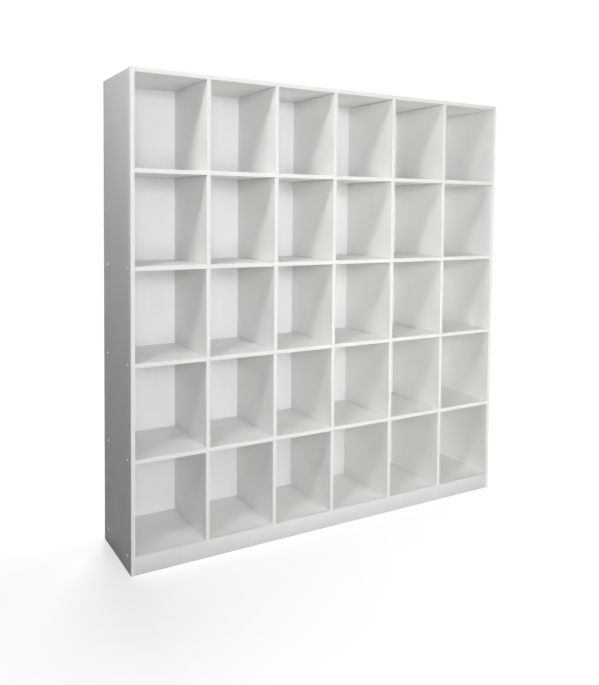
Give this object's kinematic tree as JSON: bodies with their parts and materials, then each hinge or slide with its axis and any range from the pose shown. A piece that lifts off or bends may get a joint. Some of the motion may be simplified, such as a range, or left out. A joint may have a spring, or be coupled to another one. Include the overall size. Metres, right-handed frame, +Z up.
{
  "type": "pigeonhole mail sorter",
  "caption": "Free-standing open-fronted pigeonhole sorter: white board case with full-width shelves, short dividers, a back panel and a flush kickboard, for sorting mail and papers.",
  "frame": {"origin": "centre of the floor outline, on the floor", "axes": "+Z up, -Y out of the open front, +X to the right as seen from the front"},
  "size_m": [1.8, 0.356, 1.865],
  "materials": {
    "white_board": "satin white melamine-faced board with white edging",
    "back_board": "satin white faced thin board",
    "screw_steel": "bright zinc-plated"
  },
  "bodies": {
    "root": {"front_kickboard": "white_board", "rear_kickboard": "white_board", "left_side_panel": "white_board", "right_side_panel": "white_board", "top_panel": "white_board", "shelf_1": "white_board", "shelf_2": "white_board", "shelf_3": "white_board", "shelf_4": "white_board", "bottom_panel": "white_board", "divider_r1_1": "white_board", "divider_r1_2": "white_board", "divider_r1_3": "white_board", "divider_r1_4": "white_board", "divider_r1_5": "white_board", "divider_r2_1": "white_board", "divider_r2_2": "white_board", "divider_r2_3": "white_board", "divider_r2_4": "white_board", "divider_r2_5": "white_board", "divider_r3_1": "white_board", "divider_r3_2": "white_board", "divider_r3_3": "white_board", "divider_r3_4": "white_board", "divider_r3_5": "white_board", "divider_r4_1": "white_board", "divider_r4_2": "white_board", "divider_r4_3": "white_board", "divider_r4_4": "white_board", "divider_r4_5": "white_board", "divider_r5_1": "white_board", "divider_r5_2": "white_board", "divider_r5_3": "white_board", "divider_r5_4": "white_board", "divider_r5_5": "white_board", "back_panel": "back_board", "screw_left_top_front": "screw_steel", "screw_left_top_rear": "screw_steel", "screw_left_shelf_1_front": "screw_steel", "screw_left_shelf_1_rear": "screw_steel", "screw_left_shelf_2_front": "screw_steel", "screw_left_shelf_2_rear": "screw_steel", "screw_left_shelf_3_front": "screw_steel", "screw_left_shelf_3_rear": "screw_steel", "screw_left_shelf_4_front": "screw_steel", "screw_left_shelf_4_rear": "screw_steel", "screw_left_bottom_front": "screw_steel", "screw_left_bottom_rear": "screw_steel", "screw_right_top_front": "screw_steel", "screw_right_top_rear": "screw_steel", "screw_right_shelf_1_front": "screw_steel", "screw_right_shelf_1_rear": "screw_steel", "screw_right_shelf_2_front": "screw_steel", "screw_right_shelf_2_rear": "screw_steel", "screw_right_shelf_3_front": "screw_steel", "screw_right_shelf_3_rear": "screw_steel", "screw_right_shelf_4_front": "screw_steel", "screw_right_shelf_4_rear": "screw_steel", "screw_right_bottom_front": "screw_steel", "screw_right_bottom_rear": "screw_steel"}
  },
  "joints": []
}
